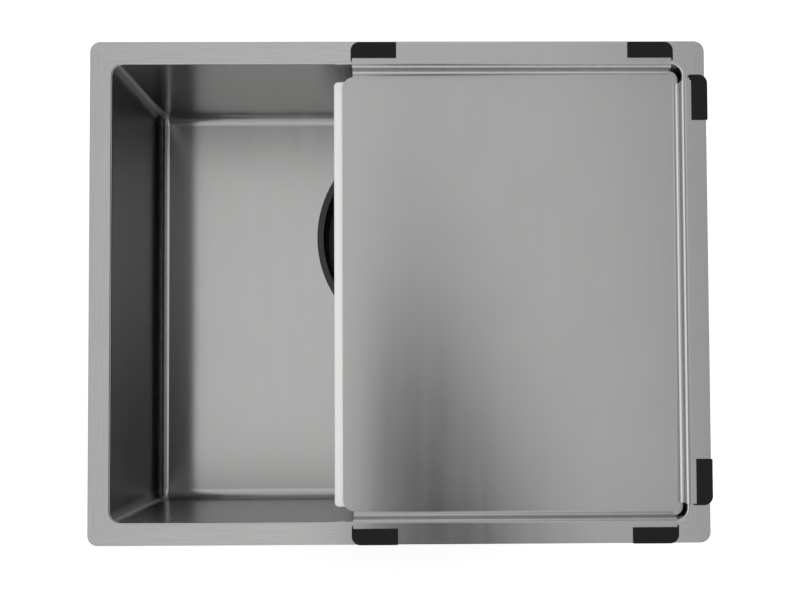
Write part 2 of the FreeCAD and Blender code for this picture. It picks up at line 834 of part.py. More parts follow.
def make_basket_bail():
    """A bent wire that lies flat on the rim of the basket, its two ends in the ears."""
    corners = [(0, ear_outer, 0), (0, bail_half_width, bail_knee_r),
               (bail_reach, bail_half_width, bail_corner_r), (bail_reach, -bail_half_width, bail_corner_r),
               (0, -bail_half_width, bail_knee_r), (0, -ear_outer, 0)]
    return bent_rod(bail_r, [(FreeCAD.Vector(waste_x + x, waste_y + y, bail_z), r) for x, y, r in corners])


# Overflow
def overflow_screw_places():
    return [overflow_x - plate_screw_spacing / 2, overflow_x + plate_screw_spacing / 2]


def make_overflow_plate():
    front = wall_y - plate_thickness
    plate = upright_plate(overflow_x, overflow_z, plate_length, plate_height, front, wall_y, plate_corner_r)
    plate = plate.cut(overflow_hole(plate_slot_length, plate_slot_height, front - overrun, wall_y + overrun))
    for x in overflow_screw_places():
        hole = rod(plate_screw_r + screw_clearance, FreeCAD.Vector(x, front - overrun, overflow_z),
                   FreeCAD.Vector(x, wall_y + overrun, overflow_z))
        plate = plate.cut(hole)
    return plate


def make_overflow_screws():
    screws = []
    face = wall_y - plate_thickness
    for x in overflow_screw_places():
        head = Part.makeSphere(plate_screw_head_r, FreeCAD.Vector(x, face, overflow_z))
        front_half = Part.makeBox(2 * plate_screw_head_r, plate_screw_r, 2 * plate_screw_head_r,
                                  FreeCAD.Vector(x - plate_screw_head_r, face - plate_screw_r,
                                                 overflow_z - plate_screw_head_r))
        shank = rod(plate_screw_r, FreeCAD.Vector(x, face - plate_screw_r / 2, overflow_z),
                    FreeCAD.Vector(x, face + plate_screw_length, overflow_z))
        screws.append(head.common(front_half).fuse(shank))
    return Part.makeCompound(screws)


def make_overflow_gasket():
    gasket = upright_plate(overflow_x, overflow_z, plate_length, plate_height, skin_y, housing_face,
                           plate_corner_r)
    front = skin_y - overrun
    back = housing_face + overrun
    gasket = gasket.cut(overflow_hole(overflow_hole_length, overflow_hole_height, front, back))
    for x in overflow_screw_places():
        start = FreeCAD.Vector(x, front, overflow_z)
        gasket = gasket.cut(rod(plate_screw_r + screw_clearance, start, start + along_y(back - front)))
    return gasket


def make_overflow_housing():
    """A flange against the back wall, a hollow box behind it and a spigot that points down."""
    flange_back = housing_face + housing_flange
    back = flange_back + housing_depth - housing_wall
    flange = upright_plate(overflow_x, overflow_z, plate_length, plate_height, housing_face, flange_back,
                           plate_corner_r)
    box = upright_plate(overflow_x, overflow_z, housing_length - 2 * plate_screw_head_r, housing_height,
                        housing_face, back, housing_corner_r)
    spigot = rod(spigot_r, FreeCAD.Vector(overflow_x, pipe_y, overflow_z),
                 FreeCAD.Vector(overflow_x, pipe_y, housing_bottom - housing_spigot))
    bosses = []
    holes = []
    for x in overflow_screw_places():
        bosses.append(rod(plate_screw_head_r, FreeCAD.Vector(x, housing_face, overflow_z),
                          FreeCAD.Vector(x, housing_face + plate_screw_length, overflow_z)))
        holes.append(rod(plate_screw_r + bore_gap, FreeCAD.Vector(x, housing_face - overrun, overflow_z),
                         FreeCAD.Vector(x, wall_y + plate_screw_length, overflow_z)))
    hollow = upright_plate(overflow_x, overflow_z, housing_length - 2 * plate_screw_head_r - 2 * housing_wall,
                           housing_height - 2 * housing_wall, housing_face - overrun, back - housing_wall,
                           housing_corner_r - housing_wall)
    bore = rod(spigot_r - pipe_wall, FreeCAD.Vector(overflow_x, pipe_y, overflow_z),
               FreeCAD.Vector(overflow_x, pipe_y, housing_bottom - housing_spigot - overrun))
    return flange.fuse([box, spigot] + bosses).cut(hollow.fuse(bore)).cut(Part.makeCompound(holes))


def pipe_path():
    """Down behind the wall, round one bend and level to the pot."""
    top = FreeCAD.Vector(overflow_x, pipe_y, pipe_top)
    corner = FreeCAD.Vector(overflow_x, pipe_y, inlet_z)
    end = inlet_point(pot_outer_r + inlet_length - pipe_overlap)
    return [(top, 0), (corner, pipe_bend_r), (end, 0)]


def make_overflow_pipe():
    return bent_rod(pipe_r, pipe_path()).cut(bent_rod(pipe_r - pipe_wall, pipe_path()))


def pipe_nut(start, direction):
    """A ribbed compression nut on the pipe, from a point and along a unit direction."""
    outer = pipe_r + pipe_socket_gap + nut_wall
    nut = Part.makeCylinder(outer, nut_length)
    for index in range(nut_ribs):
        corner = FreeCAD.Vector(pipe_r + pipe_socket_gap + nut_wall / 2, -nut_rib_width / 2, 0)
        rib = Part.makeBox(nut_wall / 2 + nut_rib_depth, nut_rib_width, nut_length, corner)
        rib.rotate(FreeCAD.Vector(0, 0, 0), FreeCAD.Vector(0, 0, 1), full_turn * index / nut_ribs)
        nut = nut.fuse(rib)
    nut = nut.cut(rod(pipe_r + pipe_socket_gap, along_z(-overrun), along_z(nut_length + overrun)))
    nut.Placement = FreeCAD.Placement(start, FreeCAD.Rotation(FreeCAD.Vector(0, 0, 1), direction))
    return nut


def make_upper_pipe_nut():
    down = FreeCAD.Vector(0, 0, -1)
    return pipe_nut(FreeCAD.Vector(overflow_x, pipe_y, nut_top), down)


def make_lower_pipe_nut():
    return pipe_nut(inlet_point(pot_outer_r + pipe_socket_gap), inlet_direction())


def make_upper_pipe_seal():
    top = FreeCAD.Vector(overflow_x, pipe_y, pipe_top + seal_length)
    bottom = FreeCAD.Vector(overflow_x, pipe_y, pipe_top)
    return rod(pipe_r, bottom, top).cut(rod(spigot_r, bottom, top))


def make_lower_pipe_seal():
    end = pot_outer_r + inlet_length - pipe_overlap
    outer = rod(pipe_r, inlet_point(end - seal_length), inlet_point(end))
    return outer.cut(rod(spigot_r, inlet_point(end - seal_length), inlet_point(end)))


# Every piece under its own name
def hung(piece):
    """A piece of the tray, which hangs a little in front of the middle of the bowl."""
    piece.translate(along_y(-tray_forward))
    return piece


def main():
    save(make_sink_bowl(), "sink_bowl")
    for side in ("back", "front", "left", "right"):
        save(make_fixing_rail(side), side + "_fixing_rail")
        save(make_wall_pad(side), side + "_sound_pad")
    save(make_floor_pad(), "floor_sound_pad")
    save(hung(make_tray()), "tray")
    save(hung(make_board_studs()), "board_studs")
    save(hung(make_board()), "tray_board")
    save(hung(make_board_nuts()), "board_nuts")
    for side, ends in lip_ends.items():
        save(hung(make_sleeve(side, "first")), "sleeve_" + side + "_" + ends[0])
        save(hung(make_sleeve(side, "last")), "sleeve_" + side + "_" + ends[1])
    save(make_waste_collar(), "waste_collar")
    save(make_collar_gasket(), "collar_gasket")
    save(make_collar_studs(), "collar_studs")
    save(make_collar_nuts(), "collar_nuts")
    save(make_waste_pot(), "waste_pot")
    save(make_pot_gasket(), "pot_gasket")
    save(make_ring_nut(), "ring_nut")
    save(make_outlet_tail(), "outlet_tail")
    save(make_tail_gasket(), "tail_gasket")
    save(make_tail_nut(), "tail_nut")
    save(make_strainer_basket(), "strainer_basket")
    save(make_basket_bail(), "basket_bail")
    save(make_overflow_plate(), "overflow_plate")
    save(make_overflow_screws(), "overflow_screws")
    save(make_overflow_gasket(), "overflow_gasket")
    save(make_overflow_housing(), "overflow_housing")
    save(make_overflow_pipe(), "overflow_pipe")
    save(make_upper_pipe_nut(), "upper_pipe_nut")
    save(make_lower_pipe_nut(), "lower_pipe_nut")
    save(make_upper_pipe_seal(), "upper_pipe_seal")
    save(make_lower_pipe_seal(), "lower_pipe_seal")


main()
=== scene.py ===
# %% [markdown]
# # A kitchen sink in brushed steel
# This script dresses a kitchen sink that was first built as solids. A folded steel bowl carries a flat rim.
# A steel tray hangs in its right part on six black sleeves, with a white plastic board below it, and a wide
# waste with a strainer basket opens in the floor under the tray.
#
# The solids are a fixed frame: their shape and place stay. This script gives each of them the finish of the
# real piece, models the small parts that the solids only hint at, such as threads, nuts and screw heads,
# and sets up the studio in which the sink is photographed from straight above.

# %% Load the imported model
import json
import math
import bmesh
import bpy
from mathutils import Matrix, Vector


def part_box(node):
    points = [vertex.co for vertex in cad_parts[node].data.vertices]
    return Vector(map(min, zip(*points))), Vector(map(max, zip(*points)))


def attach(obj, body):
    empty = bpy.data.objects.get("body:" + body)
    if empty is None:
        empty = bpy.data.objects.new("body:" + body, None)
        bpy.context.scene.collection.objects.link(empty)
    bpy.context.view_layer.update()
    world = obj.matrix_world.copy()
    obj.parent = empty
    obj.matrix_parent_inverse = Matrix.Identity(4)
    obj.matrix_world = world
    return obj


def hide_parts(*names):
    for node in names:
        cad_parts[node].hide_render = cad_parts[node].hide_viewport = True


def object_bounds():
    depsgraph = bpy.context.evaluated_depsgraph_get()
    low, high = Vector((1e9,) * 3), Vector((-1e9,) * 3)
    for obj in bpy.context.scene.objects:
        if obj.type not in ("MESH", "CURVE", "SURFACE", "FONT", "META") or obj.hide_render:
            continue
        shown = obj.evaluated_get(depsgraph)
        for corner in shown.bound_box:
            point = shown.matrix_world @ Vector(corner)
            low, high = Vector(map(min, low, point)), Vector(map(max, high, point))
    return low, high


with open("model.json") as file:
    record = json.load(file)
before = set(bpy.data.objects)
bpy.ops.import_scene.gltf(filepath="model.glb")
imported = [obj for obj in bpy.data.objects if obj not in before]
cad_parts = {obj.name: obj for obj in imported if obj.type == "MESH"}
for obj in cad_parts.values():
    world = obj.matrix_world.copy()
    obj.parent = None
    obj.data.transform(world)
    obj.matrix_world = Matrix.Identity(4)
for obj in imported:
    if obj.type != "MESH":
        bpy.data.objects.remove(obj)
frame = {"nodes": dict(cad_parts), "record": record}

cad_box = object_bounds()
nodes = frame["nodes"]
mm = 0.001
print("size in mm:", [round((high - low) / mm, 1) for low, high in zip(*cad_box)])

# %% [markdown]
# A colour is easiest to judge as the hex value that a colour picker shows, but the shader wants linear
# light, so one function converts. Node trees grow long when every node takes four lines, so one function
# adds a node with its settings and its links. These two carry all the materials below.

# %% Colours and nodes
def linear(hex_value):
    """A colour from an sRGB hex value, in linear light."""
    shares = [int(hex_value[start:start + 2], 16) / 255 for start in (1, 3, 5)]
    return tuple(s / 12.92 if s <= 0.04045 else ((s + 0.055) / 1.055) ** 2.4 for s in shares) + (1.0,)


def add_node(tree, kind, settings={}, inputs={}):
    """A node with its settings; an input is a value, or a socket that is linked to it."""
    node = tree.nodes.new(kind)
    for name, value in settings.items():
        setattr(node, name, value)
    for name, value in inputs.items():
        if isinstance(value, bpy.types.NodeSocket):
            tree.links.new(value, node.inputs[name])
        else:
            node.inputs[name].default_value = value
    return node


print("mid grey is", round(linear("#808080")[0], 3), "in linear light")

# %% [markdown]
# Every material starts the same way, with the plain values of its shader. A pattern also needs the place on
# the piece in metres. The Object coordinates give it, because they don't depend on the camera or on the
# size of the piece, and they stay with the piece when it moves.

# %% Start a material
def start_material(name, colour, metallic, roughness):
    """A new material with plain values."""
    material = bpy.data.materials.new(name)
    material.use_nodes = True
    shader = material.node_tree.nodes["Principled BSDF"]
    shader.inputs["Base Color"].default_value = linear(colour)
    shader.inputs["Metallic"].default_value = metallic
    shader.inputs["Roughness"].default_value = roughness
    return material


def inside(material):
    """A material's tree, its shader and the place on the piece that wears it."""
    tree = material.node_tree
    place = add_node(tree, "ShaderNodeTexCoord").outputs["Object"]
    return tree, tree.nodes["Principled BSDF"], place


def shaded(tree, colour, factor):
    """A colour made darker or lighter by a factor that changes over the surface."""
    grey = add_node(tree, "ShaderNodeCombineColor", {}, {0: factor, 1: factor, 2: factor})
    mix = add_node(tree, "ShaderNodeMix", {"data_type": "RGBA", "blend_type": "MULTIPLY"},
                   {0: 1.0, 6: linear(colour), 7: grey.outputs[0]})
    return mix.outputs[2]


# %% [markdown]
# The solids already carry a plain material in a slot. Dressing a piece puts the detailed material in that
# slot and leaves the mesh alone. The record names a slot for each node, so pieces of one finish are dressed
# together.

# %% Dress the pieces of one slot
slot_of = {row["node"]: row["material_slot"] for row in frame["record"]["subparts"]}


def dress(slot, material):
    """Gives every node of a material slot its finish."""
    names = [name for name in nodes if slot_of[name] == slot]
    for name in names:
        nodes[name].data.materials.clear()
        nodes[name].data.materials.append(material)
    print(material.name, "on", ", ".join(names))


# %% [markdown]
# The bowl and the tray are stainless steel sheet with a satin finish: an abrasive belt has drawn scratches
# over it. How they run depends on the part of the sheet. One way to tell the parts from each other is to
# mark faces, but these meshes stay as they are, so two masks come from the normal of the face and two from
# the place on the piece. Faces that look more than about 45 degrees away from straight up or down are
# walls, and those that look along X are end walls.

# %% Which way a face looks
steep = 0.7
print("a wall looks at least", round(math.degrees(math.acos(steep))), "degrees away from upright")


def facing(tree):
    """Masks of the end walls and of all walls."""
    normal = add_node(tree, "ShaderNodeNewGeometry").outputs["True Normal"]
    faced = add_node(tree, "ShaderNodeVectorMath", {"operation": "ABSOLUTE"}, {0: normal})
    looks = add_node(tree, "ShaderNodeSeparateXYZ", {}, {"Vector": faced.outputs[0]})
    ends = add_node(tree, "ShaderNodeMath", {"operation": "GREATER_THAN"}, {0: looks.outputs["X"], 1: steep})
    walls = add_node(tree, "ShaderNodeMath", {"operation": "LESS_THAN"}, {0: looks.outputs["Z"], 1: steep})
    return ends.outputs[0], walls.outputs[0]


# %% [markdown]
# The rim begins where the place lies beyond the inner corner of the rim, and its long sides are where it
# lies further beyond in Y than in X. That gives the corners of the rim their mitre. The tray has no rim of
# its own, so its corner is put far outside it.

# %% Where the rim lies
bowl_corner = (251.5 * mm, 200 * mm, 0.0)
no_rim = (9.0, 9.0, 0.0)
print("the rim begins", [round(reach / mm, 1) for reach in bowl_corner[:2]], "mm from the middle")


def rim_masks(tree, place, corner):
    """Masks of the rim and of its long sides."""
    reach = add_node(tree, "ShaderNodeVectorMath", {"operation": "ABSOLUTE"}, {0: place})
    past = add_node(tree, "ShaderNodeVectorMath", {"operation": "SUBTRACT"}, {0: reach.outputs[0], 1: corner})
    beyond = add_node(tree, "ShaderNodeSeparateXYZ", {}, {"Vector": past.outputs[0]})
    further = add_node(tree, "ShaderNodeMath", {"operation": "MAXIMUM"},
                       {0: beyond.outputs["X"], 1: beyond.outputs["Y"]})
    rim = add_node(tree, "ShaderNodeMath", {"operation": "GREATER_THAN"}, {0: further.outputs[0], 1: 0.0})
    more_in_y = add_node(tree, "ShaderNodeMath", {"operation": "LESS_THAN"},
                         {0: beyond.outputs["X"], 1: beyond.outputs["Y"]})
    out_in_y = add_node(tree, "ShaderNodeMath", {"operation": "GREATER_THAN"},
                        {0: beyond.outputs["Y"], 1: 0.0})
    long_sides = add_node(tree, "ShaderNodeMath", {"operation": "MULTIPLY"},
                          {0: more_in_y.outputs[0], 1: out_in_y.outputs[0]})
    return rim.outputs[0], long_sides.outputs[0]


# %% [markdown]
# Two directions matter for the eye. The streaks that can be seen run from front to back on the floor, the
# bed and the ends of the rim, along the rim on its long sides, and level round the walls. The grain that is
# too fine to be seen smears the mirror image one way and leaves it sharp the other way: from front to back
# on everything that lies flat and on the end walls, and up and down on the long walls. The photo shows it
# in the corner of the bowl, where the upright bends stay sharp in the back wall, and at the foot of the
# left wall, where a dark band has a sharp edge.

# %% The two directions of the grain
along_x = (1.0, 0.0, 0.0)
along_y = (0.0, 1.0, 0.0)
upright = (0.0, 0.0, 1.0)


def grain_ways(tree, ends, walls, long_sides):
    """The direction across the streaks, and the one in which the mirror image is smeared."""
    flat = add_node(tree, "ShaderNodeMix", {"data_type": "VECTOR"}, {0: long_sides, 4: along_x, 5: along_y})
    across = add_node(tree, "ShaderNodeMix", {"data_type": "VECTOR"},
                      {0: ends, 4: flat.outputs[1], 5: upright})
    long_walls = add_node(tree, "ShaderNodeMath", {"operation": "SUBTRACT", "use_clamp": True},
                          {0: walls, 1: ends})
    smear = add_node(tree, "ShaderNodeMix", {"data_type": "VECTOR"},
                     {0: long_walls.outputs[0], 4: along_y, 5: upright})
    return across.outputs[1], smear.outputs[1]


# %% [markdown]
# The streaks themselves are a noise that is squeezed across their direction and drawn long along it. Belt
# scratches are about 0.05 mm wide, which is a tenth of a pixel in the picture, so they are drawn 0.7 mm
# wide and 45 mm long. Wider soft bands of 16 mm stand for the passes of the belt.

# %% Noise along the grain
scratch_width = 0.7 * mm
scratch_length = 45 * mm
band_width = 16 * mm
band_length = 8 * scratch_length
print("scratches", round(scratch_length / mm), "mm long, belt passes", round(band_length / mm), "mm long")


def grain_noise(tree, place, across, width, length, detail):
    """A noise of streaks of this width and length, across a direction."""
    squeeze = add_node(tree, "ShaderNodeVectorMath", {"operation": "MULTIPLY_ADD"},
                       {0: across, 1: (1 / width - 1 / length,) * 3, 2: (1 / length,) * 3})
    scaled = add_node(tree, "ShaderNodeVectorMath", {"operation": "MULTIPLY"},
                      {0: place, 1: squeeze.outputs[0]})
    noise = add_node(tree, "ShaderNodeTexNoise", {},
                     {"Vector": scaled.outputs[0], "Scale": 1.0, "Detail": detail, "Roughness": 0.6})
    return noise.outputs["Fac"]


# %% [markdown]
# The steel is one colour with small changes: a few per cent lighter and darker from scratch to scratch and
# from band to band, and slightly duller patches of 60 mm where water has dried. The streaks show most on
# the rim, which gets more contrast on top of that of the rest. Plain roughness would blur the mirror image
# both ways and look sandblasted, so the anisotropy of the shader is used, with the direction of the smear
# as its tangent.

# %% Brushed steel
streak_contrast = 0.05
more_on_rim = 0.28
band_contrast = 0.10
base_tone = 0.95
noise_middle = 0.5
dried_patch = 60 * mm
duller = 0.05


def brushed_steel(name, colour, roughness, rim_corner):
    """Satin stainless sheet, and a mask of its end walls."""
    material = start_material(name, colour, metallic=1.0, roughness=roughness)
    tree, shader, place = inside(material)
    ends, walls = facing(tree)
    rim, long_sides = rim_masks(tree, place, rim_corner)
    across, smear = grain_ways(tree, ends, walls, long_sides)
    scratches = grain_noise(tree, place, across, scratch_width, scratch_length, detail=4.0)
    bands = grain_noise(tree, place, across, band_width, band_length, detail=2.0)
    contrast = add_node(tree, "ShaderNodeMath", {"operation": "MULTIPLY_ADD"},
                        {0: rim, 1: more_on_rim, 2: streak_contrast})
    streaks = add_node(tree, "ShaderNodeMath", {"operation": "SUBTRACT"}, {0: scratches, 1: noise_middle})
    tone = add_node(tree, "ShaderNodeMath", {"operation": "MULTIPLY_ADD"},
                    {0: streaks.outputs[0], 1: contrast.outputs[0], 2: base_tone})
    tone = add_node(tree, "ShaderNodeMath", {"operation": "MULTIPLY_ADD"},
                    {0: bands, 1: band_contrast, 2: tone.outputs[0]})
    tree.links.new(shaded(tree, colour, tone.outputs[0]), shader.inputs["Base Color"])
    rough = add_node(tree, "ShaderNodeMath", {"operation": "MULTIPLY_ADD"},
                     {0: bands, 1: duller, 2: roughness - duller})
    dried = add_node(tree, "ShaderNodeTexNoise", {},
                     {"Vector": place, "Scale": 1 / dried_patch, "Detail": 3.0})
    rough = add_node(tree, "ShaderNodeMath", {"operation": "MULTIPLY_ADD"},
                     {0: dried.outputs["Fac"], 1: duller, 2: rough.outputs[0]})
    tree.links.new(rough.outputs[0], shader.inputs["Roughness"])
    shader.inputs["Anisotropic"].default_value = 1.0
    tree.links.new(smear, shader.inputs["Tangent"])
    bump = add_node(tree, "ShaderNodeBump", {},
                    {"Strength": 0.03, "Distance": 0.05 * mm, "Height": scratches})
    tree.links.new(bump.outputs[0], shader.inputs["Normal"])
    return material, ends


# %% [markdown]
# Bare metal mirrors more and more at a glancing look, and in the photo this steel does so less than a
# polished one would. The specular tint takes some of that light away, and leaves the steel as bright as
# before when it is looked at squarely. On the end walls of the bowl the tint is lowered to less than half of
# that of its other faces, which is painted shade: in the photo the left wall and its image in the floor are
# both that dark. On the tray the tint is the same all over, so it is a plain value of the shader.

# %% Steel at a glancing look, with painted shade on the bowl's end walls
glance = 0.70
# The lower tint of the end walls is painted shade.
end_glance_painted_shade = 0.305
tray_glance = 0.85
bowl_steel, bowl_ends = brushed_steel("satin_brushed_stainless_bowl", "#C6C6C5", roughness=0.20,
                                      rim_corner=bowl_corner)
tray_steel = brushed_steel("satin_brushed_stainless_tray", "#C2C2C1", roughness=0.22, rim_corner=no_rim)[0]
# The tint of the bowl, lowered on its end walls to paint shade on them.
glance_with_painted_end_shade = add_node(bowl_steel.node_tree, "ShaderNodeMath", {"operation": "MULTIPLY_ADD"},
                      {0: bowl_ends, 1: end_glance_painted_shade - glance, 2: glance})
bowl_shader = bowl_steel.node_tree.nodes["Principled BSDF"]
tray_shader = tray_steel.node_tree.nodes["Principled BSDF"]
bowl_steel.node_tree.links.new(glance_with_painted_end_shade.outputs[0], bowl_shader.inputs["Specular Tint"])
tray_shader.inputs["Specular Tint"].default_value = (tray_glance, tray_glance, tray_glance, 1.0)
dress("bowl_steel", bowl_steel)
dress("tray_steel", tray_steel)

# %% [markdown]
# Small steel parts have no belt finish. The overflow plate is ground, the nuts and screws are turned and
# pressed, and the bail is drawn wire. A fine noise for the tool marks and a slow one for handling are
# enough at their size. Stainless looks a little warm and sharp, and drawn wire is smoother.

# %% Small steel and wire
handling = 12 * mm
handled_range = 0.12
mark_contrast = 0.10
mark_base = 0.92
print("tool marks change the tone by", mark_contrast, "and handling the roughness by", handled_range)


def plain_steel(name, colour, roughness, mark_size, mark_strength):
    """Bare metal with fine tool marks and slow changes from handling."""
    material = start_material(name, colour, metallic=1.0, roughness=roughness)
    tree, shader, place = inside(material)
    marks = add_node(tree, "ShaderNodeTexNoise", {}, {"Vector": place, "Scale": 1 / mark_size, "Detail": 4.0})
    handled = add_node(tree, "ShaderNodeTexNoise", {},
                       {"Vector": place, "Scale": 1 / handling, "Detail": 2.0})
    tone = add_node(tree, "ShaderNodeMath", {"operation": "MULTIPLY_ADD"},
                    {0: marks.outputs["Fac"], 1: mark_contrast, 2: mark_base})
    tree.links.new(shaded(tree, colour, tone.outputs[0]), shader.inputs["Base Color"])
    rough = add_node(tree, "ShaderNodeMath", {"operation": "MULTIPLY_ADD"},
                     {0: handled.outputs["Fac"], 1: handled_range, 2: roughness - handled_range / 2})
    tree.links.new(rough.outputs[0], shader.inputs["Roughness"])
    bump = add_node(tree, "ShaderNodeBump", {},
                    {"Strength": mark_strength, "Distance": 0.04 * mm, "Height": marks.outputs["Fac"]})
    tree.links.new(bump.outputs[0], shader.inputs["Normal"])
    return material


small_steel = plain_steel("turned_stainless", "#B4B3B0", roughness=0.28, mark_size=0.5 * mm,
                          mark_strength=0.15)
dress("small_steel", small_steel)
bail_wire = plain_steel("drawn_stainless_wire", "#B9B8B5", roughness=0.20, mark_size=0.8 * mm,
                        mark_strength=0.10)
dress("bail_steel", bail_wire)

# %% [markdown]
# The rails are made of galvanised strip, bluish and dull. Molten zinc sets in flat crystals of some
# millimetres, the spangle, each with its own tone, so a cell pattern takes over the colour from the tool
# marks. The rails are spot welded to the bowl every 40 mm, which leaves round dents of 5 mm, 16 mm below
# the rim. A dent is drawn where the place, repeated every 40 mm, is near the middle of a weld.

# %% Galvanised rails with spot welds
spangle = 6 * mm
weld_step = 40 * mm
weld_radius = 2.5 * mm
weld_level = -16 * mm
crystal_contrast = 0.22
crystal_base = 0.82
zinc = "#9A9DA0"
rail_zinc = plain_steel("galvanised_strip", zinc, roughness=0.42, mark_size=1.2 * mm, mark_strength=0.12)
tree, shader, place = inside(rail_zinc)
cells = add_node(tree, "ShaderNodeTexVoronoi", {}, {"Vector": place, "Scale": 1 / spangle})
crystal = add_node(tree, "ShaderNodeSeparateColor", {}, {"Color": cells.outputs["Color"]})
tone = add_node(tree, "ShaderNodeMath", {"operation": "MULTIPLY_ADD"},
                {0: crystal.outputs[0], 1: crystal_contrast, 2: crystal_base})
tree.links.new(shaded(tree, zinc, tone.outputs[0]), shader.inputs["Base Color"])
repeated = add_node(tree, "ShaderNodeVectorMath", {"operation": "WRAP"},
                    {0: place, 1: (weld_step / 2,) * 3, 2: (-weld_step / 2,) * 3})
offset = add_node(tree, "ShaderNodeVectorMath", {"operation": "SUBTRACT"},
                  {0: repeated.outputs[0], 1: (0.0, 0.0, weld_level)})
away = add_node(tree, "ShaderNodeVectorMath", {"operation": "LENGTH"}, {0: offset.outputs[0]})
dent = add_node(tree, "ShaderNodeMapRange", {"interpolation_type": "SMOOTHSTEP"},
                {0: away.outputs["Value"], 1: 0.6 * weld_radius, 2: weld_radius, 3: 0.0, 4: 1.0})
weld_bump = add_node(tree, "ShaderNodeBump", {},
                     {"Strength": 0.5, "Distance": 0.4 * mm, "Height": dent.outputs[0]})
tree.links.new(weld_bump.outputs[0], shader.inputs["Normal"])
dress("rail_steel", rail_zinc)

# %% [markdown]
# The plastics differ more in how they were made than in colour. Moulded pieces carry the fine eroded grain
# of their mould, and glass-filled ones show faint flow clouds. Silicone is matt and soft, and it picks up a
# little dust. One function covers them: a grain of a real size, slow clouds in the tone, and a roughness
# that moves with the grain.

# %% Moulded plastic and rubber
cloud_size = 18 * mm
grain_range = 0.16
print("flow clouds", round(cloud_size / mm), "mm wide, roughness moves by", grain_range)


def moulded(name, colour, roughness, grain, depth, clouds):
    """Plastic or rubber with a mould grain of this size and depth and slow clouds in its tone."""
    material = start_material(name, colour, metallic=0.0, roughness=roughness)
    tree, shader, place = inside(material)
    eroded = add_node(tree, "ShaderNodeTexNoise", {}, {"Vector": place, "Scale": 1 / grain, "Detail": 4.0})
    slow = add_node(tree, "ShaderNodeTexNoise", {}, {"Vector": place, "Scale": 1 / cloud_size, "Detail": 2.0})
    tone = add_node(tree, "ShaderNodeMath", {"operation": "MULTIPLY_ADD"},
                    {0: slow.outputs["Fac"], 1: clouds, 2: 1.0 - clouds / 2})
    tree.links.new(shaded(tree, colour, tone.outputs[0]), shader.inputs["Base Color"])
    rough = add_node(tree, "ShaderNodeMath", {"operation": "MULTIPLY_ADD"},
                     {0: eroded.outputs["Fac"], 1: grain_range, 2: roughness - grain_range / 2})
    tree.links.new(rough.outputs[0], shader.inputs["Roughness"])
    bump = add_node(tree, "ShaderNodeBump", {},
                    {"Strength": 0.35, "Distance": depth, "Height": eroded.outputs["Fac"]})
    tree.links.new(bump.outputs[0], shader.inputs["Normal"])
    return material


# %% [markdown]
# The values stand next to each other here, so that they can be compared: the colour, the roughness, the
# size and depth of the grain in mm, and the strength of the clouds. The sleeves are the darkest and
# dullest, the collar is a dark grey glass-filled nylon, and the pot, the basket and the nuts are black
# polypropylene with a slight gloss. A low IOR of 1.41 keeps the silicone from mirroring the white studio.

# %% The plastics
plastics = {}
for slot, name, colour, roughness, grain, depth, clouds in (
        ("sleeve_silicone", "matt_black_silicone", "#0F0F0E", 0.78, 0.8, 0.03, 0.15),
        ("collar_plastic", "dark_grey_glass_filled_nylon", "#5A5A59", 0.55, 0.9, 0.04, 0.12),
        ("basket_plastic", "black_polypropylene_basket", "#141414", 0.42, 0.9, 0.04, 0.10),
        ("pot_plastic", "black_polypropylene_pot", "#141414", 0.50, 1.1, 0.04, 0.10),
        ("pipe_plastic", "dark_grey_polypropylene_pipe", "#484849", 0.38, 1.1, 0.02, 0.08),
        ("nut_plastic", "black_moulded_nut", "#1E1E1E", 0.48, 1.0, 0.05, 0.10),
        ("gasket_rubber", "soft_black_rubber", "#1A1A1A", 0.75, 0.8, 0.04, 0.10)):
    plastics[slot] = moulded(name, colour, roughness, grain * mm, depth * mm, clouds)
    dress(slot, plastics[slot])
silicone_shader = plastics["sleeve_silicone"].node_tree.nodes["Principled BSDF"]
silicone_shader.inputs["IOR"].default_value = 1.41

# %% [markdown]
# The board is milled from a sheet of white polyethylene, which is slightly waxy. A cutter leaves faint
# arcs, and knives leave short straight marks. Both are fine, so one noise that is squeezed along X gives
# the marks, about 1 mm wide and 12 mm long, instead of a mould grain. White polyethylene lets a little
# light in below its surface, which softens its edges.

# %% The white board
mark_width = 1.0 * mm
mark_length = 12 * mm
board = moulded("white_polyethylene_board", "#E4E4E2", roughness=0.48, grain=1.2 * mm, depth=0.03 * mm,
                clouds=0.03)
tree, shader, place = inside(board)
squeezed = add_node(tree, "ShaderNodeMapping", {},
                    {"Vector": place, "Scale": (1 / mark_length, 1 / mark_width, 1 / mark_width)})
marks = add_node(tree, "ShaderNodeTexNoise", {}, {"Vector": squeezed.outputs[0], "Scale": 1.0, "Detail": 2.0})
scored = add_node(tree, "ShaderNodeBump", {},
                  {"Strength": 0.25, "Distance": 0.05 * mm, "Height": marks.outputs["Fac"]})
tree.links.new(scored.outputs[0], shader.inputs["Normal"])
shader.inputs["Subsurface Weight"].default_value = 0.08
shader.inputs["Subsurface Radius"].default_value = (1.0, 1.0, 1.0)
shader.inputs["Subsurface Scale"].default_value = 2 * mm
dress("board_plastic", board)

# %% [markdown]
# The damping pads are bitumen sheets with a rolled pattern of small raised lozenges, 8 mm apart, which lets
# them bend. Two waves that cross at an angle give the grooves between the lozenges. The pads on the four
# walls need the pattern in their own planes: the sum of X and Y runs along every one of them, so it is used
# for the level direction, with Z for the upright one. Under the floor, where Z stays the same, it leaves
# slanting ribs.

